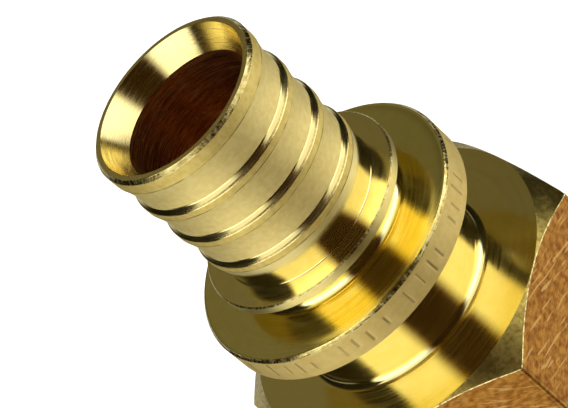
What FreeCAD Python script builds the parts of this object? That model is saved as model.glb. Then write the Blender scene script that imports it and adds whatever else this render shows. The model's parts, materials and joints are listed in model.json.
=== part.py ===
import FreeCAD, Part
import math
import os

# A one-piece turned adapter: a barbed stub for a plastic pipe on top, a collar, a neck, and below
# them a hexagon with a female pipe thread. Millimetres, +Z up, the origin in the middle of the face
# that the part stands on. Outline points are (radius, height).

# Waterway
bore_diameter = 13.0
mouth_taper_length = 2.4
rim_land = 0.45

# Barbed stub, from its mouth down to the stop ring
stub_length = 17.0
crest_diameter = 16.9
edge_break = 0.32
first_crest_width = 1.26
barb_count = 4
barb_pitch = 4.11
crest_width = 0.73
barb_depth = 0.42
flank_sag = 0.1

# Stop ring, groove, collar and neck
stop_ring_diameter = 20.3
stop_ring_thickness = 0.9
stop_ring_edge_break = 0.12
groove_diameter = 16.5
groove_width = 2.5
collar_diameter = 26.9
collar_width = 3.03
collar_edge_break = 0.26
neck_diameter = 19.2
neck_length = 7.67
root_radius = 0.8
undercut_radius = 0.4

# Hexagon
flat_count = 6
hexagon_across_flats = 31.0
hexagon_length = 17.0
shoulder_diameter = 30.9
shoulder_chamfer_angle = 38.0
end_face_diameter = 30.2
end_chamfer_angle = 30.0

# Female pipe thread of size G 3/4, its hole at the thread's minor diameter
thread_minor_diameter = 24.12
thread_major_diameter = 26.44
thread_entry_clearance = 0.5
thread_hole_depth = 14.6
drill_point_half_angle = 59.0

# Heights
shoulder_height = hexagon_length
collar_back = shoulder_height + neck_length
collar_front = collar_back + collar_width
stop_ring_back = collar_front + groove_width
stop_ring_front = stop_ring_back + stop_ring_thickness
mouth_height = stop_ring_front + stub_length

# Radii
bore_radius = bore_diameter / 2
crest_radius = crest_diameter / 2
barb_root_radius = crest_radius - barb_depth
groove_radius = groove_diameter / 2
neck_radius = neck_diameter / 2
collar_radius = collar_diameter / 2
shoulder_radius = shoulder_diameter / 2
hexagon_corner_radius = hexagon_across_flats / 2 / math.cos(math.pi / flat_count)


def rise_over(run, angle):
    """Height gained over a radial run by a chamfer of that many degrees."""
    return run * math.tan(math.radians(angle))


def spot(point):
    """An outline point as a vector in the plane of the section."""
    radius, height = point
    return FreeCAD.Vector(radius, 0, height)


def straight(points):
    """Straight edges from each outline point to the next."""
    return [Part.LineSegment(spot(a), spot(b)).toShape() for a, b in zip(points, points[1:])]


def hollow_flank(start, end):
    """A shallow arc from a crest down to a root, sagging towards the axis."""
    middle = ((start[0] + end[0]) / 2 - flank_sag, (start[1] + end[1]) / 2)
    return Part.Arc(spot(start), spot(middle), spot(end)).toShape()


def cove(start, end):
    """A quarter-round hollow from a barb's root out to the next crest."""
    radius = end[0] - start[0]
    inset = radius * (1 - math.sqrt(0.5))
    middle = (start[0] + inset, end[1] + inset)
    return Part.Arc(spot(start), spot(middle), spot(end)).toShape()


def rounded_corner(before, corner, after, radius):
    """The arc that rounds a corner of the outline, and the two points where it starts and ends."""
    to_before = (spot(before) - spot(corner)).normalize()
    to_after = (spot(after) - spot(corner)).normalize()
    half_angle = to_before.getAngle(to_after) / 2
    start = spot(corner) + to_before * (radius / math.tan(half_angle))
    end = spot(corner) + to_after * (radius / math.tan(half_angle))
    bisector = (to_before + to_after).normalize()
    middle = spot(corner) + bisector * (radius / math.sin(half_angle) - radius)
    return Part.Arc(start, middle, end).toShape(), (start.x, start.z), (end.x, end.z)


def mouth_outline():
    """From the bore up the inner taper and across the rim's flat land."""
    land_outer = crest_radius - edge_break
    return [
        (bore_radius, mouth_height - mouth_taper_length),
        (land_outer - rim_land, mouth_height),
        (land_outer, mouth_height),
    ]


def barb_edges():
    """From the rim's land down over the barbs to the face of the stop ring."""
    first_crest_top = mouth_height - edge_break
    crest_end = first_crest_top - first_crest_width
    edges = straight([mouth_outline()[-1], (crest_radius, first_crest_top), (crest_radius, crest_end)])
    for _ in range(barb_count - 1):
        next_crest_end = crest_end - barb_pitch
        next_crest_top = next_crest_end + crest_width
        root = (barb_root_radius, next_crest_top + barb_depth)
        edges.append(hollow_flank((crest_radius, crest_end), root))
        edges.append(cove(root, (crest_radius, next_crest_top)))
        edges += straight([(crest_radius, next_crest_top), (crest_radius, next_crest_end)])
        crest_end = next_crest_end
    edges.append(hollow_flank((crest_radius, crest_end), (barb_root_radius, stop_ring_front)))
    return edges


def stop_ring_outline():
    """The thin ring that the pipe and its sleeve are pushed up to."""
    radius = stop_ring_diameter / 2
    return [
        (barb_root_radius, stop_ring_front),
        (radius - stop_ring_edge_break, stop_ring_front),
        (radius, stop_ring_front - stop_ring_edge_break),
        (radius, stop_ring_back),
        (groove_radius, stop_ring_back),
    ]


def neck_and_face_edges(top, radius, face_height, face_rim_radius):
    """A stretch of that radius from its top down to the flat face below, with its root radius."""
    start = (radius, top)
    face_rim = (face_rim_radius, face_height)
    arc, arc_start, arc_end = rounded_corner(start, (radius, face_height), face_rim, root_radius)
    return straight([start, arc_start]) + [arc] + straight([arc_end, face_rim])


def collar_edges():
    """The collar's edge break, its outside, its back, and the small undercut at its foot."""
    back_corner = (neck_radius, collar_back)
    neck_below = (neck_radius, shoulder_height)
    back_rim = (collar_radius, collar_back)
    undercut, undercut_start, undercut_end = rounded_corner(back_rim, back_corner, neck_below, undercut_radius)
    outside = straight([
        (collar_radius - collar_edge_break, collar_front),
        (collar_radius, collar_front - collar_edge_break),
        back_rim,
        undercut_start,
    ])
    return outside + [undercut], undercut_end


def hexagon_blank_outline():
    """The round blank that the flats are cut from, chamfered at both ends."""
    end_face_radius = end_face_diameter / 2
    top_drop = rise_over(hexagon_corner_radius - shoulder_radius, shoulder_chamfer_angle)
    end_rise = rise_over(hexagon_corner_radius - end_face_radius, end_chamfer_angle)
    return [
        (shoulder_radius, shoulder_height),
        (hexagon_corner_radius, shoulder_height - top_drop),
        (hexagon_corner_radius, end_rise),
        (end_face_radius, 0),
    ]


def thread_hole_outline():
    """The threaded hole from its countersunk entry up to the drill point and the bore."""
    hole_radius = thread_minor_diameter / 2
    entry_radius = (thread_major_diameter + thread_entry_clearance) / 2
    drill_point_rise = (hole_radius - bore_radius) / math.tan(math.radians(drill_point_half_angle))
    return [
        (entry_radius, 0),
        (hole_radius, entry_radius - hole_radius),
        (hole_radius, thread_hole_depth),
        (bore_radius, thread_hole_depth + drill_point_rise),
    ]


def turned_blank():
    """The whole part as turned, before its flats are cut."""
    mouth = mouth_outline()
    collar, undercut_end = collar_edges()
    thread_hole = thread_hole_outline()
    edges = straight(mouth) + barb_edges() + straight(stop_ring_outline())
    collar_face_radius = collar_radius - collar_edge_break
    edges += neck_and_face_edges(stop_ring_back, groove_radius, collar_front, collar_face_radius)
    edges += collar
    edges += neck_and_face_edges(undercut_end[1], neck_radius, shoulder_height, shoulder_radius)
    edges += straight(hexagon_blank_outline() + thread_hole + mouth[:1])
    section = Part.Face(Part.Wire(edges))
    return section.revolve(FreeCAD.Vector(0, 0, 0), FreeCAD.Vector(0, 0, 1), 360)


def flat_cutter():
    """What lies outside the flats, over the hexagon's length only."""
    reach = 1.0
    height = hexagon_length + 2 * reach
    below = FreeCAD.Vector(0, 0, -reach)
    corners = []
    for index in range(flat_count + 1):
        turn = 2 * math.pi * index / flat_count
        x = hexagon_corner_radius * math.cos(turn)
        y = hexagon_corner_radius * math.sin(turn)
        corners.append(FreeCAD.Vector(x, y, -reach))
    prism = Part.Face(Part.makePolygon(corners)).extrude(FreeCAD.Vector(0, 0, height))
    return Part.makeCylinder(hexagon_corner_radius + reach, height, below).cut(prism)


def adapter_body():
    """The finished adapter as one solid."""
    return turned_blank().cut(flat_cutter()).Solids[0]


os.makedirs("parts", exist_ok=True)
adapter_body().exportStep("parts/adapter_body.step")
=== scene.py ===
"""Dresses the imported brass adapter: one turned skin with its female thread, and the studio round it."""
import json
import logging
import math
from collections.abc import Callable
from dataclasses import dataclass, field
from enum import Enum

import bpy
import numpy as np
from mathutils import Matrix, Vector


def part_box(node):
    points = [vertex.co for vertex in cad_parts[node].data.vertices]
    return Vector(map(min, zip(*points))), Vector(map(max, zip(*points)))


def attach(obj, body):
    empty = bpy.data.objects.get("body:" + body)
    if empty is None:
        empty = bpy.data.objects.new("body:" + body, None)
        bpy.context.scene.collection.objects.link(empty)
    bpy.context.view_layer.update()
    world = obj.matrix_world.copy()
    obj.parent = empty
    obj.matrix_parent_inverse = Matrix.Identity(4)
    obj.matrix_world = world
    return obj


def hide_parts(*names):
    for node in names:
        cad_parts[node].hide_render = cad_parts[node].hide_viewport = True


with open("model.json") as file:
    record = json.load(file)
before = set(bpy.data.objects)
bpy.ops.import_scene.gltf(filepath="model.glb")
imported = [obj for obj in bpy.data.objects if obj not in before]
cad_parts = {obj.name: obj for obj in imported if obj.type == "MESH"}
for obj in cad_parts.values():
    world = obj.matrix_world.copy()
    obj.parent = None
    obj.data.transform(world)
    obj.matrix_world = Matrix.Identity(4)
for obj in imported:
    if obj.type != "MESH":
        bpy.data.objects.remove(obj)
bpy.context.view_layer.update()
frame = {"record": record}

log = logging.getLogger("adapter")

# Lengths in the classes below are millimetres, and this turns them into the scene's metres.
MM = 0.001
NODE = "adapter_body"
BODY = "root"

# How many points a ring has: inside the part, outside it, and where fine marks are cut.
# Each number divides the next, so that a ring of one kind can be joined to a ring of another.
INSIDE = 96
OUTSIDE = 192
FINE = 1152

SECTORS = 6
FULL_TURN = 2 * math.pi

# The angle that one chord of an arc stands for, and a wider one for arcs of a small radius.
ARC_STEP = math.radians(15)
SMALL_ARC_STEP = math.radians(30)
SMALL_ARC = 0.1
LEAST_ARC_STEPS = 2

Relief = Callable[[np.ndarray, np.ndarray, float, float], np.ndarray]
Tone = tuple[float, float, float]
Inputs = dict[str | int, object]


class Finish(Enum):
    """The finishes that the adapter's surfaces carry, in the order of the skin's material slots."""

    TAPER = 0
    BORE = 1
    RIM = 2
    BURR = 3
    FLANK = 4
    CREST = 5
    CREST_LINE = 6
    CREST_EDGE = 7
    STEP = 8
    ROOT_FLANK = 9
    BRIGHT = 10
    FACE = 11
    COLLAR_FACE = 12
    RING_RIM = 13
    COLLAR_RIM = 14
    STAMP = 15
    CHAMFER = 16
    FLAT = 17
    FLAT_EDGE = 18
    CUT_FACE = 19
    THREAD = 20


def mount(name: str) -> dict:
    """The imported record's mount of that name."""
    return next(m for m in frame["record"]["mounts"] if m["name"] == name)


@dataclass(frozen=True)
class CadSizes:
    """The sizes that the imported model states, in millimetres."""

    height: float
    across_flats: float
    bore_radius: float
    crest_radius: float
    thread_minor_radius: float

    @classmethod
    def read(cls) -> "CadSizes":
        """Reads the sizes from the node's box and the record's mounts.

        Returns:
            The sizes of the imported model.
        """
        low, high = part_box(NODE)
        return cls(
            height=(high.z - low.z) / MM,
            across_flats=(high.y - low.y) / MM,
            bore_radius=mount("waterway")["dims"]["r_mm"],
            crest_radius=mount("pipe_stub")["dims"]["r_mm"],
            thread_minor_radius=mount("female_thread")["dims"]["r_mm"],
        )


def ring_angles(count: int) -> np.ndarray:
    """Angles round the axis, closer together at the hexagon's corners.

    Args:
        count: How many points the ring has, a multiple of twice the sectors.

    Returns:
        The angles in radians, the first at a corner.
    """
    closeness = 0.55
    sector = np.arange(count) * SECTORS / count
    whole = np.round(sector)
    offset = sector - whole
    # Four times the cube is a half at half a sector, so the blend keeps each sector's width.
    bent = closeness * offset + (1 - closeness) * 4 * offset**3
    return (whole + bent) * FULL_TURN / SECTORS


def revolved(radii: np.ndarray | float, heights: np.ndarray | float, angles: np.ndarray) -> np.ndarray:
    """Points or normals of the section, turned to angles round the axis.

    Args:
        radii: The radial part of each.
        heights: The axial part of each.
        angles: The angles in radians.

    Returns:
        The x, y and z of each.
    """
    return np.stack(np.broadcast_arrays(radii * np.cos(angles), radii * np.sin(angles), heights), -1)


def grid_normals(grid: np.ndarray) -> np.ndarray:
    """The outward normals of a grid of points that closes round the axis.

    Args:
        grid: Rows of points in the order of the outline.

    Returns:
        A unit vector for each point.
    """
    along = np.gradient(grid, axis=0)
    around = np.roll(grid, -1, 1) - np.roll(grid, 1, 1)
    normals = np.cross(along, around)
    return normals / np.linalg.norm(normals, axis=2, keepdims=True)


@dataclass(frozen=True)
class Corner:
    """A corner of the turned outline, with the radius that rounds it and the finish of that round."""

    radius: float
    height: float
    rounding: float = 0.0
    finish: Finish | None = None

    def at(self) -> np.ndarray:
        """The corner as a point of the section."""
        return np.array([self.radius, self.height])


@dataclass(frozen=True)
class Leg:
    """What lies between one corner and the next: its finish, its hollow and the relief cut into it."""

    finish: Finish
    rings: int = 1
    sag: float = 0.0
    around: int = OUTSIDE
    relief: Relief | None = None
    sunk: Finish | None = None
    sunk_from: float = 0.0

    def slots(self, depth: np.ndarray) -> np.ndarray | int:
        """The material slots of the faces between two rings.

        Args:
            depth: How deep the relief lies at each ring's points, a row for each ring.

        Returns:
            One slot for all the faces, or a slot for each where the sunk ones carry another finish, which
            paints shade into them.
        """
        if self.sunk is None:
            return self.finish.value
        corners = depth[0] + depth[1]
        mean = (corners + np.roll(corners, -1)) / 4
        return np.where(mean > self.sunk_from, self.sunk.value, self.finish.value)


@dataclass(frozen=True)
class Stretch:
    """Points of the section with the outward normal at each, and the leg whose finish they carry."""

    points: np.ndarray
    normals: np.ndarray
    leg: Leg

    def shading(self, row: int, grid: np.ndarray, count: int) -> np.ndarray:
        """The normals of one ring, made again where it has another number of points than the stretch.

        Args:
            row: The ring's place in the stretch.
            grid: The normals of all the stretch's rings.
            count: How many points the ring has.

        Returns:
            A normal for each point.
        """
        return grid[row] if count == self.leg.around else revolved(*self.normals[row], ring_angles(count))


@dataclass(frozen=True)
class Ring:
    """Points of the mesh in order round the axis, by number, with the surface's normal at each."""

    numbers: np.ndarray
    normals: np.ndarray

    def __len__(self) -> int:
        """How many points it has."""
        return len(self.numbers)

    def picked(self, places: np.ndarray) -> "Ring":
        """The points at those places in it."""
        return Ring(self.numbers[places], self.normals[places])

    def onward(self) -> "Ring":
        """The point after each of its points."""
        return Ring(np.roll(self.numbers, -1), np.roll(self.normals, -1, 0))


@dataclass
class Skin:
    """The adapter's outside and inside as one closed mesh, made of rings and the bands between them."""

    total: int = 0
    positions: list[np.ndarray] = field(default_factory=list)
    faces: list[np.ndarray] = field(default_factory=list)
    normals: list[np.ndarray] = field(default_factory=list)
    slots: list[np.ndarray] = field(default_factory=list)

    def ring(self, points: np.ndarray) -> np.ndarray:
        """Adds a ring of points in millimetres.

        Args:
            points: One row for each point.

        Returns:
            The numbers of the new points.
        """
        numbers = np.arange(self.total, self.total + len(points))
        self.positions.append(points)
        self.total += len(points)
        return numbers

    def add(self, corners: list[Ring], slots: np.ndarray | int) -> None:
        """Adds faces, each with one corner from each ring.

        Args:
            corners: The rings with the first corner of every face, the second of every face and so on.
            slots: The faces' material slot, or one for each.
        """
        self.faces.append(np.stack([ring.numbers for ring in corners], 1))
        self.normals.append(np.stack([ring.normals for ring in corners], 1))
        self.slots.append(np.broadcast_to(slots, len(corners[0])))

    def band(self, first: Ring, second: Ring, slots: np.ndarray | int) -> None:
        """Adds the faces between two rings, which may differ in how many points they have.

        Args:
            first: The ring that the outline comes from.
            second: The ring that the outline goes to.
            slots: The faces' material slot, or one for each between rings of one length.
        """
        if len(first) == len(second):
            self.add([first, second, second.onward(), first.onward()], slots)
            return
        swapped = len(first) > len(second)
        coarse, dense = (second, first) if swapped else (first, second)
        ratio = len(dense) // len(coarse)
        # Dense edges meet the nearest coarse point, and coarse edges meet the dense point between them.
        nearest = coarse.picked((np.arange(len(dense)) + ratio // 2) // ratio % len(coarse))
        between = dense.picked((np.arange(len(coarse)) * ratio + ratio - ratio // 2) % len(dense))
        for a, b, c in ((nearest, dense, dense.onward()), (coarse, between, coarse.onward())):
            self.add([a, c, b] if swapped else [a, b, c], slots)

    def turn(self, corners: list[Corner], legs: list[Leg], first: np.ndarray | None = None,
             last: np.ndarray | None = None) -> tuple[np.ndarray, np.ndarray]:
        """Turns an outline round the axis.

        Args:
            corners: The outline's corners in order.
            legs: What lies between each corner and the next.
            first: The points that are there already at the first corner.
            last: The points that are there already at the last corner.

        Returns:
            The numbers of the points at the first and at the last corner.
        """
        stretches = outline_stretches(corners, legs)
        counts = [stretch.leg.around for stretch in stretches]
        if first is None:
            first = self.ring(revolved(*stretches[0].points[0], ring_angles(counts[0])))
        before = first
        for index, stretch in enumerate(stretches):
            end = last if index + 1 == len(stretches) else None
            before = self.stretch(stretch, before, max(counts[index:index + 2]), end)
        return first, before

    def stretch(self, stretch: Stretch, before: np.ndarray, end_count: int,
                end: np.ndarray | None) -> np.ndarray:
        """Adds the bands of one stretch.

        Args:
            stretch: The points and normals of the section.
            before: The points that are there already at its start.
            end_count: How many points its last ring has.
            end: The points of its last ring, if they are there already.

        Returns:
            The numbers of the points at its end.
        """
        leg, last = stretch.leg, len(stretch.points) - 1
        angles = ring_angles(leg.around)
        grid = np.stack([revolved(*point, angles) for point in stretch.points])
        shading = np.stack([revolved(*normal, angles) for normal in stretch.normals])
        depth = np.zeros(grid.shape[:2])
        if leg.relief is not None:
            along = np.linspace(0, 1, last + 1)
            length = float(np.linalg.norm(stretch.points[-1] - stretch.points[0]))
            radius = float(stretch.points[:, 0].mean())
            depth[1:-1] = leg.relief(angles[None, :], along[:, None], length, radius)[1:-1]
            grid = grid - shading * depth[..., None]
            shading = grid_normals(grid)
        for row in range(1, last + 1):
            if row < last:
                after = self.ring(grid[row])
            elif end is None:
                after = self.ring(revolved(*stretch.points[row], ring_angles(end_count)))
            else:
                after = end
            upper = Ring(before, stretch.shading(row - 1, shading, len(before)))
            lower = Ring(after, stretch.shading(row, shading, len(after)))
            self.band(upper, lower, leg.slots(depth[row - 1:row + 1]))
            before = after
        return before

    def weave(self, before: np.ndarray, grid: np.ndarray, finish: Finish) -> np.ndarray:
        """Adds a grid of points whose first row is there already.

        Args:
            before: The points of that row, by number.
            grid: Rows of points in the order of the outline.
            finish: What the faces carry.

        Returns:
            The numbers of the last row's points.
        """
        shading = grid_normals(grid)
        for row in range(1, len(grid)):
            after = self.ring(grid[row])
            self.band(Ring(before, shading[row - 1]), Ring(after, shading[row]), finish.value)
            before = after
        return before

    def piece(self, name: str, materials: list[bpy.types.Material]) -> bpy.types.Object:
        """Makes the mesh object.

        Args:
            name: The piece's name.
            materials: One for each finish, in order.

        Returns:
            The new object, linked to the scene.
        """
        mesh = bpy.data.meshes.new(name)
        faces = [tuple(face) for block in self.faces for face in block.tolist()]
        mesh.from_pydata((np.concatenate(self.positions) * MM).tolist(), [], faces)
        mesh.polygons.foreach_set("material_index", np.concatenate(self.slots).astype(np.int32))
        mesh.polygons.foreach_set("use_smooth", np.ones(len(faces), bool))
        for material in materials:
            mesh.materials.append(material)
        mesh.update()
        normals = np.concatenate([block.reshape(-1, 3) for block in self.normals])
        mesh.normals_split_custom_set(normals.tolist())
        piece = bpy.data.objects.new(name, mesh)
        bpy.context.scene.collection.objects.link(piece)
        return piece


def left_of(direction: np.ndarray) -> np.ndarray:
    """The outward normal beside a direction of travel along the outline."""
    return np.array([-direction[1], direction[0]])


def turned_by(direction: np.ndarray, angle: float) -> np.ndarray:
    """The direction turned counter-clockwise by an angle in radians."""
    x, y = direction
    cosine, sine = math.cos(angle), math.sin(angle)
    return np.array([cosine * x - sine * y, sine * x + cosine * y])


def arc_points(start: np.ndarray, end: np.ndarray, centre: np.ndarray, steps: int) -> np.ndarray:
    """Points along the shorter arc from a start to an end round a centre.

    Args:
        start: The arc's first point.
        end: Its last point.
        centre: Its centre.
        steps: How many chords stand for it.

    Returns:
        One row for each point.
    """
    radius = np.linalg.norm(start - centre)
    first = math.atan2(*(start - centre)[::-1])
    sweep = (math.atan2(*(end - centre)[::-1]) - first + math.pi) % FULL_TURN - math.pi
    turns = first + np.linspace(0, sweep, steps + 1)
    return centre + radius * np.stack([np.cos(turns), np.sin(turns)], 1)


def sagged(start: np.ndarray, end: np.ndarray, sag: float, rings: int) -> tuple[np.ndarray, np.ndarray]:
    """A hollow between two points.

    Args:
        start: Its first point.
        end: Its last point.
        sag: How far its middle lies under the straight line.
        rings: How many chords stand for it.

    Returns:
        The points, and the outward normal at each.
    """
    chord = end - start
    length = float(np.linalg.norm(chord))
    radius = (length**2 / 4 + sag**2) / (2 * sag)
    centre = (start + end) / 2 + left_of(chord / length) * (radius - sag)
    points = arc_points(start, end, centre, rings)
    return points, (centre - points) / radius


def leg_directions(start: np.ndarray, end: np.ndarray, sag: float) -> tuple[np.ndarray, np.ndarray]:
    """Which way a straight or hollow leg sets off and arrives.

    Args:
        start: Its first point.
        end: Its last point.
        sag: How far its middle lies under the straight line.

    Returns:
        The direction at its start and at its end.
    """
    length = float(np.linalg.norm(end - start))
    direction = (end - start) / length
    bend = 2 * math.atan(2 * sag / length)
    return turned_by(direction, -bend), turned_by(direction, bend)


def outline_stretches(corners: list[Corner], legs: list[Leg]) -> list[Stretch]:
    """Splits an outline into its straight or hollow legs and the arcs that round its corners.

    Args:
        corners: The corners in order.
        legs: What lies between each corner and the next.

    Returns:
        The stretches in order.
    """
    stretches: list[Stretch] = []
    start = corners[0].at()
    for index, leg in enumerate(legs):
        corner = corners[index + 1]
        end = corner.at()
        arriving = leg_directions(corners[index].at(), end, leg.sag)[1]
        arc = None
        if corner.rounding and index + 1 < len(legs):
            following = legs[index + 1]
            leaving = leg_directions(corner.at(), corners[index + 2].at(), following.sag)[0]
            turn = math.acos(float(np.clip(arriving @ leaving, -1, 1)))
            side = 1.0 if np.cross(arriving, leaving) > 0 else -1.0
            cut = corner.rounding * math.tan(turn / 2)
            end = corner.at() - arriving * cut
            centre = end + side * corner.rounding * left_of(arriving)
            step = SMALL_ARC_STEP if corner.rounding < SMALL_ARC else ARC_STEP
            steps = max(LEAST_ARC_STEPS, math.ceil(turn / step))
            points = arc_points(end, corner.at() + leaving * cut, centre, steps)
            around = min(OUTSIDE, max(leg.around, following.around))
            rounded = Leg(corner.finish or leg.finish, around=around)
            arc = Stretch(points, side * (centre - points) / corner.rounding, rounded)
        if leg.sag:
            points, normals = sagged(start, end, leg.sag, leg.rings)
        else:
            points = np.linspace(start, end, leg.rings + 1)
            normals = np.tile(left_of(arriving), (leg.rings + 1, 1))
        stretches.append(Stretch(points, normals, leg))
        start = end
        if arc is not None:
            stretches.append(arc)
            start = arc.points[-1]
    return stretches


def waviness(angles: np.ndarray, lumps: int, rng: np.random.Generator) -> np.ndarray:
    """Smooth random values that close round the axis.

    Args:
        angles: Where they are wanted, in radians.
        lumps: How many independent values lie round the axis.
        rng: The source of chance.

    Returns:
        A value from 0 to 1 for each angle.
    """
    values = rng.random(lumps)
    place = np.mod(angles / FULL_TURN, 1) * lumps
    low = np.floor(place).astype(int)
    share = place - low
    share = share * share * (3 - 2 * share)
    return values[low % lumps] * (1 - share) + values[(low + 1) % lumps] * share


@dataclass(frozen=True)
class BurrRelief:
    """The uneven edge that a turning tool leaves: nicks and rolled burrs along an edge break."""

    depth: float
    lump_length: float
    seed: int
    coarse_share: float = 0.6

    def __call__(self, angles: np.ndarray, along: np.ndarray, length: float, radius: float) -> np.ndarray:
        """How far the surface lies under the plain edge break.

        Args:
            angles: The angle of each point, in radians.
            along: Its place across the edge break, from 0 to 1.
            length: The edge break's width, not used.
            radius: The edge's radius.

        Returns:
            Depths in millimetres.
        """
        rng = np.random.default_rng(self.seed)
        lumps = int(FULL_TURN * radius / self.lump_length)
        rows = []
        for _ in range(len(along)):
            coarse = waviness(angles[0], lumps, rng)
            fine = waviness(angles[0], 2 * lumps, rng)
            rows.append(self.coarse_share * coarse + (1 - self.coarse_share) * fine)
        return self.depth * np.stack(rows) ** 2


@dataclass(frozen=True)
class FaceRings:
    """The faint rings that facing leaves on a flat face, and the dip inside the burr at its edge."""

    seed: int
    depth: float = 0.0006
    pitch: float = 0.3
    dip: float = 0.0
    dip_width: float = 0.9
    dip_edge: float = 0.12

    def __call__(self, angles: np.ndarray, along: np.ndarray, length: float, radius: float) -> np.ndarray:
        """How far the surface lies under the plain face.

        Args:
            angles: The angle of each point, in radians.
            along: Its place from the face's inner edge to its outer one, from 0 to 1.
            length: The face's width.
            radius: The face's middle radius, not used.

        Returns:
            Depths in millimetres.
        """
        rng = np.random.default_rng(self.seed)
        steps = int(length / self.pitch) + 2
        rings = np.interp(along * length, np.arange(steps) * self.pitch, rng.random(steps))
        inward = (1 - along) * length
        dip = np.clip(1 - inward / self.dip_width, 0, 1) ** 2 * np.clip(inward / self.dip_edge, 0, 1)
        return (self.depth * rings + self.dip * dip) * np.ones_like(angles)


@dataclass(frozen=True)
class StampedStrokes:
    """Plain short strokes stamped in the collar's rim: upright bars of uneven length."""

    depth: float = 0.05
    half_width: float = 0.12
    spacing: float = 1.5
    shortest: float = 0.8
    longest: float = 1.7
    off_middle: float = 0.2
    off_spacing: float = 0.15
    gap_every: int = 5
    floor_share: float = 0.4
    seed: int = 11

    def __call__(self, angles: np.ndarray, along: np.ndarray, length: float, radius: float) -> np.ndarray:
        """How far the stamped surface lies under the plain rim.

        Args:
            angles: The angle of each point, in radians.
            along: Its place across the rim, from 0 to 1.
            length: The rim's width.
            radius: The rim's radius.

        Returns:
            Depths in millimetres.
        """
        rng = np.random.default_rng(self.seed)
        depth = np.zeros(np.broadcast(angles, along).shape)
        height = (along - 0.5) * length
        count = int(FULL_TURN * radius / self.spacing)
        for index in range(count):
            half = rng.uniform(self.shortest, self.longest) / 2
            middle = rng.uniform(-self.off_middle, self.off_middle)
            place = (index + rng.uniform(-self.off_spacing, self.off_spacing)) / count * FULL_TURN
            if index % self.gap_every == 0:
                continue
            across = (np.mod(angles - place + math.pi, FULL_TURN) - math.pi) * radius
            rise = height - middle
            distance = np.hypot(across, rise - np.clip(rise, -half, half))
            depth = np.maximum(depth, self.depth * np.exp(-((distance / self.half_width) ** 2)))
        return depth


@dataclass(frozen=True)
class BarbedStub:
    """The stub's mouth and its four barbs, down to the face of the stop ring."""

    cad: CadSizes
    length: float = 17.0
    taper_length: float = 2.4
    rim_land: float = 0.45
    edge_break: float = 0.32
    first_crest_width: float = 1.26
    barb_count: int = 4
    barb_pitch: float = 4.11
    crest_width: float = 0.73
    barb_depth: float = 0.42
    step_lead: float = 0.14
    step_radius: float = 0.2
    step_rise: float = 0.357
    step_fall: float = 0.3806
    bend_fall: float = 0.24
    bend_depth: float = 0.18
    bend_radius: float = 0.4
    step_edge: float = 0.14
    foot_rounding: float = 0.12
    flank_sag: float = 0.1
    edge_rounding: float = 0.04
    crest_shade_line: float = 0.08
    flank_rings: int = 8
    burr_rings: int = 5
    burr: BurrRelief = BurrRelief(depth=0.045, lump_length=0.8, seed=3)

    @property
    def root_radius(self) -> float:
        """The radius at the foot of each barb."""
        return self.cad.crest_radius - self.barb_depth

    @property
    def taper_foot(self) -> float:
        """The height at which the bore opens into the mouth's taper."""
        return self.cad.height - self.taper_length

    @property
    def foot(self) -> float:
        """The height of the stop ring's face."""
        return self.cad.height - self.length

    def step(self, top: float) -> list[Corner]:
        """The soft S-shaped step from a flank's foot out to the next crest.

        Args:
            top: The height at which the step leaves the flank's foot.

        Returns:
            Its corners.
        """
        root, crest = self.root_radius, self.cad.crest_radius
        return [
            Corner(root, top + self.step_lead),
            Corner(root, top, self.step_radius, Finish.STEP),
            Corner(crest - self.bend_depth, top - self.bend_fall, self.bend_radius),
            Corner(crest, top - self.step_fall, self.step_edge, Finish.CREST_EDGE),
        ]

    def outline(self) -> tuple[list[Corner], list[Leg]]:
        """The outline from the bore up over the rim and down over the barbs.

        Returns:
            Its corners, and the legs between them with one more that leads on from the last.
        """
        mouth, crest = self.cad.height, self.cad.crest_radius
        land_outer = crest - self.edge_break
        corners = [
            Corner(self.cad.bore_radius, self.taper_foot),
            Corner(land_outer - self.rim_land, mouth, self.edge_rounding),
            Corner(land_outer, mouth, self.edge_rounding),
            Corner(crest, mouth - self.edge_break, self.edge_rounding),
        ]
        legs = [
            Leg(Finish.TAPER),
            Leg(Finish.RIM),
            Leg(Finish.BURR, rings=self.burr_rings, around=FINE, relief=self.burr),
            Leg(Finish.CREST),
        ]
        flank = Leg(Finish.FLANK, rings=self.flank_rings, sag=self.flank_sag)
        barb = [flank, Leg(Finish.FLANK), Leg(Finish.STEP), Leg(Finish.CREST_EDGE), Leg(Finish.CREST)]
        crest_end = mouth - self.edge_break - self.first_crest_width
        for index in range(self.barb_count):
            if index > 0:
                crest_end -= self.barb_pitch
                corners += self.step(crest_end + self.crest_width + self.step_rise)
                legs += barb
            # The last sliver of each crest carries a dark finish, which paints shade along its edge.
            corners.append(Corner(crest, crest_end + self.crest_shade_line))
            corners.append(Corner(crest, crest_end, self.edge_rounding))
            legs.append(Leg(Finish.CREST_LINE))
        legs.append(Leg(Finish.ROOT_FLANK, rings=self.flank_rings, sag=self.flank_sag))
        return corners, legs


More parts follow.
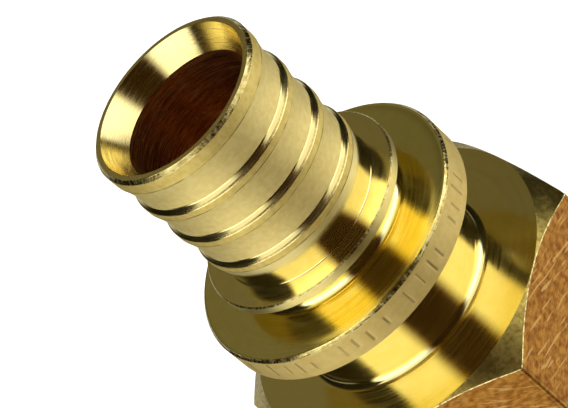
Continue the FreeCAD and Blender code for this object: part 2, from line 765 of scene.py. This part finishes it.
@dataclass(frozen=True)
class StopRingAndCollar:
    """The stop ring, the groove behind it, the collar and the neck down to the hexagon's shoulder."""

    stub: BarbedStub
    ring_radius: float = 10.15
    ring_thickness: float = 0.9
    ring_edge_break: float = 0.12
    groove_radius: float = 8.25
    groove_width: float = 2.5
    collar_radius: float = 13.45
    collar_width: float = 3.03
    collar_edge_break: float = 0.26
    neck_radius: float = 9.6
    neck_length: float = 7.67
    root_radius: float = 0.8
    undercut_radius: float = 0.4
    shoulder_radius: float = 15.45
    ring_face_rings: int = 12
    face_rings: int = 40
    rim_rings: int = 24
    ring_facing: FaceRings = FaceRings(seed=22)
    collar_facing: FaceRings = FaceRings(seed=21, dip=0.03)
    shoulder_facing: FaceRings = FaceRings(seed=23)
    burr: BurrRelief = BurrRelief(depth=0.05, lump_length=0.9, seed=5)
    strokes: StampedStrokes = StampedStrokes()

    @property
    def shoulder(self) -> float:
        """The height of the hexagon's shoulder."""
        return self.stub.foot - self.ring_thickness - self.groove_width - self.collar_width - self.neck_length

    def outline(self) -> tuple[list[Corner], list[Leg]]:
        """The outline from the stop ring's inner corner down to the shoulder's edge.

        Returns:
            Its corners, and the legs between them.
        """
        rounding = self.stub.edge_rounding
        ring_face = self.stub.foot
        ring_back = ring_face - self.ring_thickness
        collar_front = ring_back - self.groove_width
        collar_back = collar_front - self.collar_width
        corners = [
            Corner(self.stub.root_radius, ring_face, self.stub.foot_rounding),
            Corner(self.ring_radius - self.ring_edge_break, ring_face, rounding),
            Corner(self.ring_radius, ring_face - self.ring_edge_break, rounding),
            Corner(self.ring_radius, ring_back, rounding),
            Corner(self.groove_radius, ring_back, rounding),
            Corner(self.groove_radius, collar_front, self.root_radius),
            Corner(self.collar_radius - self.collar_edge_break, collar_front, rounding),
            Corner(self.collar_radius, collar_front - self.collar_edge_break, rounding),
            Corner(self.collar_radius, collar_back, rounding),
            Corner(self.neck_radius, collar_back, self.undercut_radius),
            Corner(self.neck_radius, self.shoulder, self.root_radius),
            Corner(self.shoulder_radius, self.shoulder),
        ]
        legs = [
            Leg(Finish.FACE, rings=self.ring_face_rings, relief=self.ring_facing),
            Leg(Finish.BURR),
            Leg(Finish.RING_RIM),
            Leg(Finish.BRIGHT),
            Leg(Finish.BRIGHT),
            Leg(Finish.COLLAR_FACE, rings=self.face_rings, relief=self.collar_facing),
            Leg(Finish.BURR, rings=self.stub.burr_rings, around=FINE, relief=self.burr),
            # The strokes' sunk faces carry a darker finish: painted shade in the recesses.
            Leg(Finish.COLLAR_RIM, rings=self.rim_rings, around=FINE, relief=self.strokes, sunk=Finish.STAMP,
                sunk_from=self.strokes.floor_share * self.strokes.depth),
            Leg(Finish.BRIGHT),
            Leg(Finish.BRIGHT),
            Leg(Finish.FACE, rings=self.face_rings, relief=self.shoulder_facing),
        ]
        return corners, legs


@dataclass(frozen=True)
class Hexagon:
    """The hexagon with its chamfers, from the shoulder's edge down to the end face."""

    cad: CadSizes
    collar: StopRingAndCollar
    shoulder_chamfer: float = math.radians(38)
    least_chamfer: float = 0.0125
    end_face_radius: float = 15.1
    end_chamfer: float = math.radians(30)
    corner_rounding: float = 0.4
    bevel: float = 0.05
    bevel_rise: float = math.pi / 6

    def side(self, angles: np.ndarray) -> tuple[np.ndarray, np.ndarray]:
        """The hexagon's outline with its corners rounded.

        Args:
            angles: Angles from a corner, in radians.

        Returns:
            The radius at each angle, and which way the flat or corner there faces, in radians.
        """
        half = self.cad.across_flats / 2
        sector = FULL_TURN / SECTORS
        corner = np.round(angles / sector) * sector
        offset = angles - corner
        centre = (half - self.corner_rounding) / math.cos(sector / 2)
        reach = self.corner_rounding**2 - (centre * np.sin(offset)) ** 2
        rounded = centre * np.cos(offset) + np.sqrt(np.maximum(reach, 0))
        flat_side = corner + np.where(offset < 0, -sector / 2, sector / 2)
        flat = half / np.cos(angles - flat_side)
        on_corner = (reach > 0) & (rounded < flat)
        radius = np.where(on_corner, rounded, flat)
        away = revolved(radius, 0.0, angles) - revolved(centre, 0.0, corner)
        return radius, np.where(on_corner, np.arctan2(away[:, 1], away[:, 0]), flat_side)

    def upper(self, radii: np.ndarray) -> np.ndarray:
        """The height of the shoulder's chamfer at those radii."""
        outwards = radii - self.collar.shoulder_radius
        return self.collar.shoulder - outwards * math.tan(self.shoulder_chamfer)

    def lower(self, radii: np.ndarray) -> np.ndarray:
        """The height of the end face's chamfer at those radii."""
        return (radii - self.end_face_radius) * math.tan(self.end_chamfer)

    def build(self, skin: Skin, before: np.ndarray) -> np.ndarray:
        """Adds the chamfers and the flats.

        Args:
            skin: The mesh in the making.
            before: The points at the shoulder's edge.

        Returns:
            The numbers of the points at the end face's edge.
        """
        angles = ring_angles(OUTSIDE)
        radius, facing = self.side(angles)
        inner = np.maximum(radius - self.bevel, self.collar.shoulder_radius + self.least_chamfer)
        bands = [
            (inner, self.upper(inner), math.pi / 2 - self.shoulder_chamfer, angles, Finish.CHAMFER),
            (radius, self.upper(radius) - self.bevel, self.bevel_rise, facing, Finish.FLAT_EDGE),
            (radius, self.lower(radius) + self.bevel, 0.0, facing, Finish.FLAT),
            (inner, self.lower(inner), -self.bevel_rise, facing, Finish.FLAT_EDGE),
            (self.end_face_radius, 0.0, self.end_chamfer - math.pi / 2, angles, Finish.CHAMFER),
        ]
        for radii, heights, rise, azimuths, finish in bands:
            after = skin.ring(revolved(radii, heights, angles))
            shading = revolved(math.cos(rise), math.sin(rise), azimuths)
            skin.band(Ring(before, shading), Ring(after, shading), finish.value)
            before = after
        return before


@dataclass(frozen=True)
class ThreadedHole:
    """The female pipe thread, its countersunk entry, and the drilled end that leads into the bore."""

    cad: CadSizes
    stub: BarbedStub
    pitch: float = 25.4 / 14
    sharp_height_share: float = 0.9605
    major_radius: float = 13.22
    entry_clearance: float = 0.25
    depth: float = 14.6
    thread_end: float = 11.6
    thread_fade: float = 1.8
    drill_point: float = math.radians(59)
    levels: int = 84

    @property
    def entry_radius(self) -> float:
        """The radius of the countersunk entry at the end face."""
        return self.major_radius + self.entry_clearance

    @property
    def faded(self) -> float:
        """How deep the last trace of the thread lies."""
        return self.thread_end + self.thread_fade

    def wall(self, angles: np.ndarray, heights: np.ndarray) -> np.ndarray:
        """The radius of the threaded wall.

        Args:
            angles: The angle of each point, in radians.
            heights: Its height above the end face.

        Returns:
            A radius for each point.
        """
        minor = self.cad.thread_minor_radius
        tooth = self.major_radius - minor
        sharp = self.sharp_height_share * self.pitch
        phase = np.mod(heights / self.pitch - angles / FULL_TURN, 1)
        groove = np.clip(sharp * np.abs(2 * phase - 1) - (sharp - tooth) / 2, 0, tooth)
        share = np.clip((self.faded - heights) / self.thread_fade, 0, 1)
        return np.maximum(minor + groove * share, self.entry_radius - heights)

    def build(self, skin: Skin, before: np.ndarray) -> np.ndarray:
        """Adds the threaded wall.

        Args:
            skin: The mesh in the making.
            before: The points at the entry's edge.

        Returns:
            The numbers of the points where the plain hole goes on.
        """
        angles = ring_angles(INSIDE)
        heights = np.linspace(0, self.faded, self.levels + 1)[:, None]
        return skin.weave(before, revolved(self.wall(angles, heights), heights, angles), Finish.THREAD)

    def outline_to_bore(self) -> tuple[list[Corner], list[Leg]]:
        """The outline from the thread's end through the drill point to the taper at the mouth.

        Returns:
            Its corners, and the legs between them.
        """
        minor, bore = self.cad.thread_minor_radius, self.cad.bore_radius
        corners = [
            Corner(minor, self.faded),
            Corner(minor, self.depth),
            Corner(bore, self.depth + (minor - bore) / math.tan(self.drill_point)),
            Corner(bore, self.stub.taper_foot),
        ]
        finishes = (Finish.THREAD, Finish.CUT_FACE, Finish.BORE)
        return corners, [Leg(finish, around=INSIDE) for finish in finishes]


@dataclass(frozen=True)
class Fade:
    """A smooth step between two places, from the value at the low one to the value at the high one."""

    low: float
    high: float
    at_low: float = 0.0
    at_high: float = 1.0


# Where most of a noise's values lie: a narrow span of them for shades, and a wide one for roughness.
SHADE_SPAN = (0.35, 0.65)
ROUGHNESS_SPAN = (0.3, 0.7)

# Few values of a noise pass the first of these, and half of them pass the second.
NOISE_PEAK = 0.75
NOISE_MIDDLE = 0.5


class NodeSheet:
    """A node tree with short calls for the nodes that the finishes and the studio share."""

    def __init__(self, owner: bpy.types.Material | bpy.types.World) -> None:
        """Gives the owner an empty node tree, which the calls then fill."""
        owner.use_nodes = True
        self.tree = owner.node_tree
        self.tree.nodes.clear()

    def add(self, kind: str, inputs: Inputs | None = None, **settings: object) -> bpy.types.Node:
        """Adds a node.

        Args:
            kind: Blender's name for the node.
            inputs: What its sockets get, by their names or numbers: another node's output or a value.
            settings: Its properties.

        Returns:
            The new node.
        """
        node = self.tree.nodes.new(kind)
        for name, value in settings.items():
            setattr(node, name, value)
        for key, value in (inputs or {}).items():
            if isinstance(value, bpy.types.NodeSocket):
                self.tree.links.new(value, node.inputs[key])
            else:
                node.inputs[key].default_value = value
        return node

    def surface(self, inputs: Inputs) -> None:
        """Adds the shader, with what its sockets get, and sends it to the material's surface."""
        shader = self.add("ShaderNodeBsdfPrincipled", inputs)
        self.add("ShaderNodeOutputMaterial", {"Surface": shader.outputs[0]})

    def math(self, operation: str, *values: object) -> bpy.types.NodeSocket:
        """The result of a math node on the values."""
        return self.add("ShaderNodeMath", dict(enumerate(values)), operation=operation).outputs[0]

    def product(self, first: object, *others: object) -> bpy.types.NodeSocket:
        """The product of two or more values, multiplied in order."""
        for value in others:
            first = self.math("MULTIPLY", first, value)
        return first

    def fade(self, value: object, step: Fade) -> bpy.types.NodeSocket:
        """The fade's value at a place."""
        inputs: Inputs = {"Value": value, "From Min": step.low, "From Max": step.high, "To Min": step.at_low,
                          "To Max": step.at_high}
        return self.add("ShaderNodeMapRange", inputs, interpolation_type="SMOOTHSTEP").outputs["Result"]

    def mix(self, share: object, first: object, second: object) -> bpy.types.NodeSocket:
        """A colour between two colours, each a tone or another node's output."""
        inputs: Inputs = {0: share}
        for number, colour in ((6, first), (7, second)):
            inputs[number] = (*colour, 1) if isinstance(colour, tuple) else colour
        return self.add("ShaderNodeMix", inputs, data_type="RGBA").outputs[2]

    def noise(self, vector: bpy.types.NodeSocket, scale: float, detail: float) -> bpy.types.NodeSocket:
        """The value of a noise texture, from 0 to 1."""
        return self.add("ShaderNodeTexNoise", {"Vector": vector, "Scale": scale, "Detail": detail}).outputs[0]

    def place(self, kind: str = "Object") -> bpy.types.NodeSocket:
        """The point's coordinates of that kind."""
        return self.add("ShaderNodeTexCoord").outputs[kind]

    def parts(self, vector: bpy.types.NodeSocket) -> list[bpy.types.NodeSocket]:
        """The x, y and z of a vector."""
        return list(self.add("ShaderNodeSeparateXYZ", {0: vector}).outputs)

    def turned(self, vector: bpy.types.NodeSocket, axis: str, angle: float) -> bpy.types.NodeSocket:
        """The vector turned about an axis by an angle in radians."""
        inputs = {"Vector": vector, "Angle": angle}
        return self.add("ShaderNodeVectorRotate", inputs, rotation_type=f"{axis}_AXIS").outputs[0]

    def round_the_axis(self, across: float, along: float) -> bpy.types.NodeSocket:
        """Coordinates that hardly change round the axis and change fast along the outline.

        Args:
            across: How fast they change round the axis.
            along: How fast they change along the outline, for each metre.

        Returns:
            A vector for a texture.
        """
        least_radius = 1e-5
        # Not one, so that a slope of 45 degrees doesn't stand still in the texture.
        height_share = 1.37
        x, y, z = self.parts(self.place())
        radius = self.math("SQRT", self.math("ADD", self.product(x, x), self.product(y, y)))
        safe = self.math("MAXIMUM", radius, least_radius)
        travel = self.math("ADD", radius, self.product(z, height_share))
        turns = [self.product(self.math("DIVIDE", part, safe), across) for part in (x, y)]
        parts = [*turns, self.product(travel, along)]
        return self.add("ShaderNodeCombineXYZ", dict(enumerate(parts))).outputs[0]


class BrassSheet(NodeSheet):
    """A brass material's nodes, with the place and the turning marks that its finish depends on."""

    def __init__(self, owner: bpy.types.Material, mark_run: float, mark_pitch: float) -> None:
        """Starts the nodes with marks of that run round the axis and that pitch in millimetres."""
        super().__init__(owner)
        self.here = self.place()
        self.marks = self.noise(self.round_the_axis(mark_run, 1 / (mark_pitch * MM)), 1.0, detail=3.0)


@dataclass(frozen=True)
class TurnedBrass:
    """Brass as a turning tool leaves it, from mirror bright to satin."""

    name: str
    tone: Tone = (0.97, 0.84, 0.38)
    deep_tone: Tone = (0.96, 0.8, 0.31)
    roughness: float = 0.14
    roughness_spread: float = 0.05
    mark_depth: float = 0.0006
    mark_pitch: float = 0.16
    mark_run: float = 2.5
    mottle_size: float = 1.2
    streak_share: float = 0.4
    grain_depth: float = 0.0
    grain_size: float = 0.12
    anisotropy: float = 0.0
    anisotropy_turn: float = 0.25
    polish_from: float = 0.0
    polish_to: float = 0.0
    polished_roughness: float = 0.0
    scratch_share: float = 0.0
    scratch_strength: float = 0.8
    scratch_softness: float = 0.04
    scratch_tone: Tone = (0.95, 0.8, 0.45)
    scratch_slant: float | None = None
    scratch_pitch: float = 0.1
    scratch_width: float = 0.25
    scratch_run: float = 3.0

    def material(self) -> bpy.types.Material:
        """Makes the material.

        Returns:
            The new material.
        """
        material = bpy.data.materials.new(self.name)
        sheet = BrassSheet(material, self.mark_run, self.mark_pitch)
        shader: Inputs = {
            "Base Color": self.colour(sheet),
            "Metallic": 1.0,
            "Roughness": self.dullness(sheet),
            "Normal": self.bump(sheet),
        }
        if self.anisotropy:
            tangent = sheet.add("ShaderNodeTangent", direction_type="RADIAL", axis="Z").outputs[0]
            shader |= {"Anisotropic": self.anisotropy, "Anisotropic Rotation": self.anisotropy_turn,
                       "Tangent": tangent}
        sheet.surface(shader)
        return material

    def colour(self, sheet: BrassSheet) -> bpy.types.NodeSocket:
        """The brass's own colour, with its streaks, its clouds and its scratches.

        Args:
            sheet: The material's nodes.

        Returns:
            A colour.
        """
        mottle = sheet.noise(sheet.here, 1 / (self.mottle_size * MM), detail=4.0)
        streaks = sheet.product(sheet.marks, self.streak_share)
        clouds = sheet.product(mottle, 1 - self.streak_share)
        shade = sheet.fade(sheet.math("ADD", streaks, clouds), Fade(*SHADE_SPAN))
        colour = sheet.mix(shade, self.deep_tone, self.tone)
        if self.scratch_share:
            colour = sheet.mix(self.scratches(sheet), colour, self.scratch_tone)
        return colour

    def dullness(self, sheet: BrassSheet) -> bpy.types.NodeSocket:
        """The roughness, which follows the turning marks and drops where the surface is polished.

        Args:
            sheet: The material's nodes.

        Returns:
            A roughness.
        """
        low, high = self.roughness - self.roughness_spread, self.roughness + self.roughness_spread
        roughness = sheet.fade(sheet.marks, Fade(*ROUGHNESS_SPAN, low, high))
        if self.polished_roughness:
            polish = Fade(self.polish_to * MM, self.polish_from * MM, self.polished_roughness, 1)
            roughness = sheet.math("MINIMUM", roughness, sheet.fade(sheet.parts(sheet.here)[2], polish))
        return roughness

    def bump(self, sheet: BrassSheet) -> bpy.types.NodeSocket:
        """The relief of the turning marks and the grain.

        Args:
            sheet: The material's nodes.

        Returns:
            A normal.
        """
        height = sheet.product(sheet.marks, self.mark_depth * MM)
        if self.grain_depth:
            grain = sheet.noise(sheet.here, 1 / (self.grain_size * MM), detail=2.0)
            height = sheet.math("ADD", height, sheet.product(grain, self.grain_depth * MM))
        return sheet.add("ShaderNodeBump", {"Strength": 1.0, "Distance": 1.0, "Height": height}).outputs[0]

    def scratches(self, sheet: BrassSheet) -> bpy.types.NodeSocket:
        """Where thin lighter scratches lie, round the axis or slanting over the flats.

        Args:
            sheet: The material's nodes.

        Returns:
            A share from 0 to 1.
        """
        if self.scratch_slant is None:
            rings = sheet.round_the_axis(across=3.0, along=1 / (self.scratch_pitch * MM))
            lines = sheet.noise(rings, 1.0, detail=1.0)
        else:
            run, width = 1 / (self.scratch_run * MM), 1 / (self.scratch_width * MM)
            inputs = {0: sheet.turned(sheet.here, "Y", self.scratch_slant), 1: (run, run, width)}
            stretched = sheet.add("ShaderNodeVectorMath", inputs, operation="MULTIPLY").outputs[0]
            lines = sheet.noise(stretched, 1.0, detail=2.0)
        edge = NOISE_PEAK - (NOISE_PEAK - NOISE_MIDDLE) * self.scratch_share
        soft = self.scratch_softness
        return sheet.fade(lines, Fade(edge - soft, edge + soft, 0.0, self.scratch_strength))


def finish_materials() -> list[bpy.types.Material]:
    """Makes a material for each finish.

    Returns:
        The materials in the order of the finishes.
    """
    satin = {"tone": (1.0, 0.84, 0.37), "deep_tone": (0.93, 0.74, 0.28)}
    made = {
        Finish.TAPER: TurnedBrass(
            "taper_mirror", deep_tone=(0.9, 0.73, 0.27), roughness=0.24, roughness_spread=0.06,
            mark_depth=0.0004, streak_share=0.8, anisotropy=0.93),
        # A darker, redder tone than the brass outside: painted shade deep inside the tube, with lighter
        # scratches.
        Finish.BORE: TurnedBrass(
            "bore_scratched_painted_shade", (0.75, 0.37, 0.1), (0.57, 0.25, 0.06), roughness=0.3, roughness_spread=0.1,
            mark_depth=0.008, mark_pitch=0.09, mark_run=1.2, scratch_share=0.7,
            scratch_tone=(1.0, 0.74, 0.4)),
        Finish.RIM: TurnedBrass("rim_land", **satin, roughness=0.3, mark_depth=0.002),
        Finish.BURR: TurnedBrass(
            "edge_burr", (0.92, 0.79, 0.32), (0.48, 0.34, 0.09), roughness=0.25, roughness_spread=0.1,
            grain_depth=0.01, mark_run=40.0, mottle_size=0.6),
        Finish.FLANK: TurnedBrass("stub_satin", **satin, roughness=0.64, grain_depth=0.003, mottle_size=0.5),
        Finish.CREST: TurnedBrass(
            "crest_satin", (0.9, 0.72, 0.26), (0.78, 0.59, 0.16), roughness=0.64, grain_depth=0.004,
            mottle_size=0.5),
        # A thin band at each crest's lower edge, dark in patches: painted shade along the edge.
        Finish.CREST_LINE: TurnedBrass(
            "crest_shade_line", (0.88, 0.68, 0.22), (0.2, 0.13, 0.04), roughness=0.6, mark_run=1.0,
            mottle_size=2.0),
        Finish.CREST_EDGE: TurnedBrass(
            "crest_edge", (0.92, 0.75, 0.3), (0.66, 0.49, 0.17), roughness=0.2, grain_depth=0.008,
            mottle_size=0.3),
        Finish.STEP: TurnedBrass(
            "barb_step", (0.9, 0.77, 0.32), (0.88, 0.72, 0.27), roughness=0.16, grain_depth=0.001),
        Finish.ROOT_FLANK: TurnedBrass(
            "stub_foot", (1.0, 0.87, 0.42), (0.95, 0.79, 0.33), roughness=0.6, grain_depth=0.0002,
            mark_depth=0.0002, anisotropy=0.5, polish_from=34.4, polish_to=32.6, polished_roughness=0.11),
        Finish.BRIGHT: TurnedBrass(
            "neck_bright", roughness=0.13, roughness_spread=0.04, mark_depth=0.0003, anisotropy=0.75),
        Finish.FACE: TurnedBrass(
            "faced_bright", deep_tone=(0.95, 0.8, 0.32), roughness=0.15, mark_depth=0.0004, mark_run=1.5,
            anisotropy=0.85),
        Finish.COLLAR_FACE: TurnedBrass(
            "collar_face", (0.98, 0.9, 0.38), (0.94, 0.81, 0.29), roughness=0.15, streak_share=0.6,
            mark_depth=0.0005, mark_run=1.5, anisotropy=0.85),
        Finish.RING_RIM: TurnedBrass("stop_ring_rim", **satin, roughness=0.4, grain_depth=0.001),
        Finish.COLLAR_RIM: TurnedBrass(
            "collar_rim", (0.86, 0.68, 0.27), (0.79, 0.6, 0.2), roughness=0.7, grain_depth=0.002,
            mottle_size=0.8),
        # A darker tone for the strokes' sunk faces: painted shade in the recesses.
        Finish.STAMP: TurnedBrass(
            "stroke_painted_shade", (0.62, 0.46, 0.18), (0.5, 0.36, 0.12), roughness=0.6, grain_depth=0.004),
        Finish.CHAMFER: TurnedBrass(
            "hexagon_chamfer", (0.8, 0.61, 0.16), (0.4, 0.29, 0.06), roughness=0.27, grain_depth=0.01,
            mottle_size=0.4),
        Finish.FLAT: TurnedBrass(
            "hexagon_flat", (0.6, 0.28, 0.045), (0.28, 0.09, 0.01), roughness=0.5, grain_depth=0.02,
            mark_depth=0.0, mottle_size=0.6, scratch_share=0.5, scratch_tone=(0.75, 0.45, 0.14),
            scratch_slant=math.radians(-40)),
        Finish.FLAT_EDGE: TurnedBrass(
            "hexagon_edge", satin["tone"], (0.2, 0.13, 0.05), roughness=0.45, grain_depth=0.02,
            mottle_size=0.3),
        Finish.CUT_FACE: TurnedBrass("cut_face", roughness=0.2, mark_depth=0.002),
        Finish.THREAD: TurnedBrass("thread_cut", roughness=0.22, mark_depth=0.002),
    }
    return [made[finish].material() for finish in Finish]


@dataclass(frozen=True)
class Adapter:
    """The whole adapter, turned and cut from one piece of brass."""

    cad: CadSizes

    def build(self) -> bpy.types.Object:
        """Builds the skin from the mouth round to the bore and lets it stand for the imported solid.

        Returns:
            The finished piece.
        """
        skin = Skin()
        stub = BarbedStub(self.cad)
        collar = StopRingAndCollar(stub)
        hexagon = Hexagon(self.cad, collar)
        hole = ThreadedHole(self.cad, stub)
        stub_corners, stub_legs = stub.outline()
        collar_corners, collar_legs = collar.outline()
        start, end = skin.turn(stub_corners + collar_corners, stub_legs + collar_legs)
        end = hexagon.build(skin, end)
        end_face = [Corner(hexagon.end_face_radius, 0.0), Corner(hole.entry_radius, 0.0)]
        end = skin.turn(end_face, [Leg(Finish.CUT_FACE, around=INSIDE)], end)[1]
        end = hole.build(skin, end)
        skin.turn(*hole.outline_to_bore(), end, start)
        piece = skin.piece("adapter_skin", finish_materials())
        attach(piece, BODY)
        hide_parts(NODE)
        return piece


@dataclass(frozen=True)
class Softboxes:
    """The light all round: two tall softboxes beside the camera, and dim walls behind the part.

    The fades go by degrees, of the swing to either side of the boxes' middle or of the rise over the
    horizon. The last one goes by the light itself.
    """

    middle: float
    inner_side: Fade = Fade(23, 41)
    outer_side: Fade = Fade(86, 96, 1, 0)
    narrowed_above: Fade = Fade(35, 65, 0, 45)
    narrowed_below: Fade = Fade(-35, -15, 8, 0)
    top: Fade = Fade(53, 69, 1, 0.03)
    power: float = 1.1
    peak_power: float = 1.2
    peak_foot: Fade = Fade(-20, 12)
    peak_head: Fade = Fade(17, 40, 1, 0)
    back_wall: Fade = Fade(152, 170, 0.012, 0.15)
    gap_wall: Fade = Fade(45, 90, 0.012, 0)
    strip_foot: Fade = Fade(-28, -12)
    strip_head: Fade = Fade(-4, 4, 1, 0)
    strip_start: Fade = Fade(106, 120)
    strip_run: Fade = Fade(132, 150, 0.8, 0.45)
    under: Fade = Fade(-88, -70, 0.1, 1.0)
    gap_tone: Tone = (1.0, 0.45, 0.1)
    wall_tone: Tone = (1.0, 0.85, 0.42)
    gap_to_wall: Fade = Fade(45, 90)
    low_tone: Tone = (0.94, 0.98, 1.0)
    high_tone: Tone = (1.0, 1.0, 1.0)
    low_to_high: Fade = Fade(-8, 4)
    dim_to_lit: Fade = Fade(0.1, 0.4)

    def world(self) -> bpy.types.World:
        """Makes the world that gives the light.

        Returns:
            The new world.
        """
        world = bpy.data.worlds.new("studio")
        sheet = NodeSheet(world)
        x, y, z = sheet.parts(sheet.turned(sheet.place("Generated"), "Z", -self.middle))
        degree = math.degrees(1)
        swing = sheet.product(sheet.math("ABSOLUTE", sheet.math("ARCTAN2", y, x)), degree)
        rise = sheet.product(sheet.math("ARCSINE", z), degree)
        light = self.light(sheet, swing, rise)
        dim = sheet.mix(sheet.fade(swing, self.gap_to_wall), self.gap_tone, self.wall_tone)
        lit = sheet.mix(sheet.fade(rise, self.low_to_high), self.low_tone, self.high_tone)
        colour = sheet.mix(sheet.fade(light, self.dim_to_lit), dim, lit)
        glow = sheet.add("ShaderNodeBackground", {"Color": colour, "Strength": light})
        sheet.add("ShaderNodeOutputWorld", {"Surface": glow.outputs[0]})
        return world

    def light(self, sheet: NodeSheet, swing: bpy.types.NodeSocket,
              rise: bpy.types.NodeSocket) -> bpy.types.NodeSocket:
        """How strong the light is in each direction.

        Args:
            sheet: The world's nodes.
            swing: The angle to either side of the boxes' middle.
            rise: The angle over the horizon.

        Returns:
            A strength.
        """
        reach = sheet.math("SUBTRACT", swing, sheet.fade(rise, self.narrowed_above))
        reach = sheet.math("SUBTRACT", reach, sheet.fade(rise, self.narrowed_below))
        sides = sheet.product(sheet.fade(swing, self.inner_side), sheet.fade(reach, self.outer_side))
        box = sheet.product(sides, sheet.fade(rise, self.top))
        peak = sheet.product(sheet.fade(rise, self.peak_foot), sheet.fade(rise, self.peak_head))
        power = sheet.math("ADD", sheet.product(peak, self.peak_power), self.power)
        strip = sheet.product(sheet.fade(rise, self.strip_foot), sheet.fade(rise, self.strip_head),
                              sheet.fade(swing, self.strip_start), sheet.fade(swing, self.strip_run))
        walls = sheet.math("ADD", sheet.fade(swing, self.back_wall), sheet.fade(swing, self.gap_wall))
        walls = sheet.math("ADD", walls, strip)
        light = sheet.math("ADD", sheet.product(box, power), walls)
        return sheet.product(light, sheet.fade(rise, self.under))


@dataclass(frozen=True)
class PaleFloor:
    """The floor's finish, plain, pale and without a shine."""

    name: str = "pale_floor"
    tone: Tone = (0.92, 0.92, 0.92)
    roughness: float = 0.9
    shine: float = 0.0

    def material(self) -> bpy.types.Material:
        """Makes the material.

        Returns:
            The new material.
        """
        material = bpy.data.materials.new(self.name)
        tone = (*self.tone, 1)
        NodeSheet(material).surface(
            {"Base Color": tone, "Roughness": self.roughness, "Specular IOR Level": self.shine})
        return material


@dataclass(frozen=True)
class Studio:
    """The camera at the photograph's viewing angle, a plain pale floor and soft light from all round.

    The camera's place is in millimetres. The floor and the overhead light are in metres.
    """

    height: float
    near_azimuth: float = math.radians(-66.9)
    elevation: float = math.radians(35.1)
    roll: float = math.radians(49.1)
    camera_rise: float = 101.42
    camera_distance: float = 166.66
    camera_aside: float = -0.487
    lens: float = 149.6
    sensor: float = 36.0
    nearest_seen: float = 0.01
    farthest_seen: float = 10.0
    floor_size: float = 4.0
    floor_gap: float = 0.00002
    floor_finish: PaleFloor = PaleFloor()
    softbox_offset: float = math.radians(9.5)
    overhead_size: float = 1.6
    overhead_power: float = 26.0
    overhead_rise: float = 1.2
    overhead_back: float = 0.5

    def axes(self) -> tuple[Vector, Vector, Vector]:
        """The horizontal direction towards the camera, the one to its right-hand side, and up."""
        near = Vector((math.cos(self.near_azimuth), math.sin(self.near_azimuth), 0))
        up = Vector((0, 0, 1))
        return near, up.cross(near), up

    def camera(self) -> bpy.types.Object:
        """Places the camera as the fit to the photograph's rings gives it.

        Returns:
            The camera.
        """
        near, side, up = self.axes()
        rim = Vector((0, 0, self.height))
        place = rim + up * self.camera_rise + near * self.camera_distance + side * self.camera_aside
        back = near * math.cos(self.elevation) + up * math.sin(self.elevation)
        level_up = up * math.cos(self.elevation) - near * math.sin(self.elevation)
        turned_up = level_up * math.cos(self.roll) + side * math.sin(self.roll)
        right = side * math.cos(self.roll) - level_up * math.sin(self.roll)
        data = bpy.data.cameras.new("camera")
        data.lens = self.lens
        data.sensor_width = self.sensor
        data.sensor_fit = "HORIZONTAL"
        data.clip_start = self.nearest_seen
        data.clip_end = self.farthest_seen
        camera = bpy.data.objects.new("camera", data)
        turn = Matrix((right, turned_up, back)).transposed().to_4x4()
        camera.matrix_world = Matrix.Translation(place * MM) @ turn
        bpy.context.scene.collection.objects.link(camera)
        bpy.context.scene.camera = camera
        return camera

    def floor(self) -> bpy.types.Object:
        """Lays a plain pale floor.

        Returns:
            The floor.
        """
        half, low = self.floor_size / 2, -self.floor_gap
        mesh = bpy.data.meshes.new("floor")
        corners = [(-half, -half, low), (half, -half, low), (half, half, low), (-half, half, low)]
        mesh.from_pydata(corners, [], [(0, 1, 2, 3)])
        mesh.materials.append(self.floor_finish.material())
        floor = bpy.data.objects.new("floor", mesh)
        floor.visible_glossy = False
        bpy.context.scene.collection.objects.link(floor)
        return floor

    def overhead(self) -> bpy.types.Object:
        """Hangs a broad soft light that the brass doesn't mirror, for an even pale floor.

        Returns:
            The light.
        """
        near, _, up = self.axes()
        data = bpy.data.lights.new("overhead", "AREA")
        data.shape = "DISK"
        data.size = self.overhead_size
        data.energy = self.overhead_power
        light = bpy.data.objects.new("overhead", data)
        light.location = up * self.overhead_rise - near * self.overhead_back
        light.rotation_mode = "QUATERNION"
        light.rotation_quaternion = Vector(light.location).to_track_quat("Z", "Y")
        light.visible_glossy = False
        bpy.context.scene.collection.objects.link(light)
        return light

    def build(self) -> None:
        """Sets up the camera, the floor and the lights."""
        self.camera()
        self.floor()
        bpy.context.scene.world = Softboxes(self.near_azimuth + self.softbox_offset).world()
        self.overhead()
        settings = bpy.context.scene.view_settings
        settings.view_transform = "Standard"
        settings.look = "None"


def main() -> None:
    """Builds the adapter and the studio, and reports each piece."""
    logging.basicConfig(level=logging.INFO, format="%(message)s")
    cad = CadSizes.read()
    piece = Adapter(cad).build()
    log.info("%s: %d points, %d faces", piece.name, len(piece.data.vertices), len(piece.data.polygons))
    Studio(cad.height).build()
    log.info("studio: camera, floor, softboxes and overhead light")


if __name__ == "__main__":
    main()
